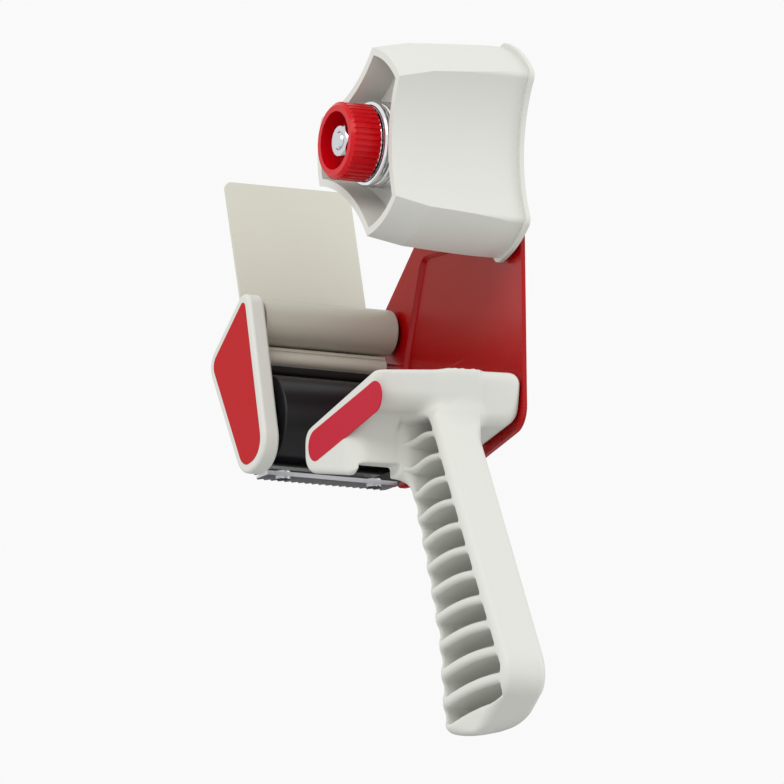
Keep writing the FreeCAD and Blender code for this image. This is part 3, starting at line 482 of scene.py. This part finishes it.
def solid_handle(x, y, z):
    """Head and grip blended together, before anything is hollowed."""
    far_block = both(far_profile(x, z), FAR_Y - y, FAR_EDGE_R)
    far_block = both(far_block, head_back(x, y, z), FAR_BACK_R)
    far_corner = both(FAR_Y - y, head_back(x, y, z), FAR_CORNER_R)
    far_block = np.maximum(np.maximum(far_block, far_corner), y - (GRIP_Y[1] - FAR_BLOCK_LAP))
    scoop = both(WALL_END_X + WALL_END_SLOPE * (y - FAR_Y) - x, z - ARCH_Z, ARCH_R)
    far_block = without(far_block, both(scoop, y - (GRIP_Y[0] + SCOOP_LAP)), WALL_CORNER_R)
    near_block = both(near_profile(x, z), slab(y, GRIP_Y[0] + NEAR_BLOCK_LAP, NEAR_Y), NEAR_EDGE_R)
    near_block = both(near_block, head_back(x, y, z), NEAR_BACK_R)
    grip = both(grip_profile(x, z), slab(y, *GRIP_Y), GRIP_EDGE_R)
    body = soft_join(far_block, near_block, BLOCK_BLEND)
    body = soft_join(body, grip, GRIP_BLEND)
    body = both(body, z - np.minimum(head_top(x), head_top(BACK_X)), TOP_EDGE_R)
    body = both(body, FOOT_FAR_Z + (y - GRIP_Y[0]) * FOOT_TILT - z, FOOT_EDGE_R)
    return np.maximum(body, slab(y, FAR_Y, NEAR_Y))


def pockets(x, y, z):
    """The recesses between the grip's ribs, open on the label's side."""
    outline = both(grip_profile(x, z) + POCKET_RIM, off_pocket_row(x, z) - POCKET_HALF, POCKET_CORNER_R)
    back = np.maximum(grip_back_plane(x, y, z) + POCKET_BACK_WALL, x - (HEEL_X - POCKET_BACK_WALL))
    pocket = both(both(outline, back, POCKET_END_R), y - POCKET_FLOOR_Y, POCKET_END_R)
    return np.maximum(np.maximum(pocket, POCKET_FRONT_X - x), GRIP_Y[0] - POCKET_OPENING - y)


def handle_field(x, y, z):
    along = np.maximum(z - (head_top(x) - ROOF_T), slab(x, HEAD_FRONT_X - CAVITY_FRONT_LAP, CAVITY_BACK_X))
    cavity = both(along, slab(y, FAR_Y + SIDE_WALL_T, NEAR_Y - SIDE_WALL_T), CAVITY_R)
    body = without(solid_handle(x, y, z), cavity, CAVITY_EDGE_R)
    near_low = NEAR_WALL_LOW_Z + (x - HEAD_FRONT_X) * NEAR_WALL_SLOPE
    under_near_wall = np.maximum(np.maximum(z - near_low, x - CAVITY_BACK_X), FAR_Y + FAR_WALL_KEPT - y)
    body = without(body, under_near_wall, NEAR_WALL_EDGE_R)
    body = without(body, pockets(x, y, z), POCKET_EDGE_R)
    notch = both(both(slab(y, *NOTCH_Y), z - NOTCH_Z, NOTCH_R), WALL_END_X - NOTCH_LAP - x)
    return without(body, notch, CAVITY_EDGE_R)


HANDLE_STEP = 0.6
field_piece(
    "handle_shell",
    handle_field,
    handle_low,
    handle_high,
    HANDLE_STEP,
    "frame",
    "handle",
    WHITE,
)


# ---- Stage, light and camera -------------------------------------------------------------------
def stage_card(name, corners, grey):
    """A flat matt sheet of the stage, out of the camera's sight."""
    mesh = bpy.data.meshes.new(name)
    mesh.from_pydata(corners, [], [(0, 1, 2, 3)])
    card = bpy.data.objects.new(name, mesh)
    bpy.context.scene.collection.objects.link(card)
    finish = bpy.data.materials.new(name + "_matt")
    finish.use_nodes = True
    finish.node_tree.nodes["Principled BSDF"].inputs["Base Color"].default_value = (grey, grey, grey, 1.0)
    finish.node_tree.nodes["Principled BSDF"].inputs["Roughness"].default_value = 0.9
    mesh.materials.append(finish)


FLOOR_Z = -0.62
FLOOR_HALF = 0.8
FLOOR_GREY = 0.5
stage_card(
    "floor",
    [(sx * FLOOR_HALF, sy * FLOOR_HALF, FLOOR_Z) for sx, sy in ((-1, -1), (1, -1), (1, 1), (-1, 1))],
    FLOOR_GREY,
)
# A dark sheet low beyond the object, which polished undersides mirror.
CARD_CENTRE = Vector((-1.15, 0.6))
CARD_ALONG = Vector((0.46, 0.88)) * 0.7
CARD_Z = (-0.75, -0.03)
CARD_GREY = 0.02
stage_card(
    "dark_card",
    [
        (*(CARD_CENTRE - CARD_ALONG), CARD_Z[0]),
        (*(CARD_CENTRE + CARD_ALONG), CARD_Z[0]),
        (*(CARD_CENTRE + CARD_ALONG), CARD_Z[1]),
        (*(CARD_CENTRE - CARD_ALONG), CARD_Z[1]),
    ],
    CARD_GREY,
)

WORLD_STRENGTH = 0.95
world = bpy.data.worlds.new("studio")
world.use_nodes = True
world.node_tree.nodes["Background"].inputs["Color"].default_value = (1.0, 1.0, 1.0, 1.0)
world.node_tree.nodes["Background"].inputs["Strength"].default_value = WORLD_STRENGTH
bpy.context.scene.world = world
bpy.context.scene.view_settings.view_transform = "Standard"


def area_light(name, place, aim, size, power):
    light = bpy.data.lights.new(name, "AREA")
    light.shape = "RECTANGLE"
    light.size, light.size_y = size
    light.energy = power
    lamp = bpy.data.objects.new(name, light)
    bpy.context.scene.collection.objects.link(lamp)
    lamp.location = place
    lamp.rotation_euler = (Vector(aim) - Vector(place)).to_track_quat("-Z", "Y").to_euler()


TARGET = Vector((0.0407, -0.025, 0.0042))
area_light("key", (0.9, -1.1, 0.9), TARGET, (0.9, 0.9), 9.0)
area_light("side", (0.6, 1.2, 0.3), TARGET, (0.5, 1.2), 4.0)

TO_CAMERA = Vector((0.861, -0.463, -0.191)).normalized()
IMAGE_RIGHT = Vector((0.470, 0.882, -0.012))
IMAGE_RIGHT = (IMAGE_RIGHT - TO_CAMERA * IMAGE_RIGHT.dot(TO_CAMERA)).normalized()
CAMERA_DISTANCE = 8.42
camera_data = bpy.data.cameras.new("camera")
camera_data.lens = 1200.0
camera_data.clip_end = 50.0
camera_data.sensor_width = 36.0
camera = bpy.data.objects.new("camera", camera_data)
bpy.context.scene.collection.objects.link(camera)
turn = Matrix((IMAGE_RIGHT, TO_CAMERA.cross(IMAGE_RIGHT), TO_CAMERA)).transposed()
camera.matrix_world = Matrix.Translation(TARGET + TO_CAMERA * CAMERA_DISTANCE) @ turn.to_4x4()
bpy.context.scene.camera = camera
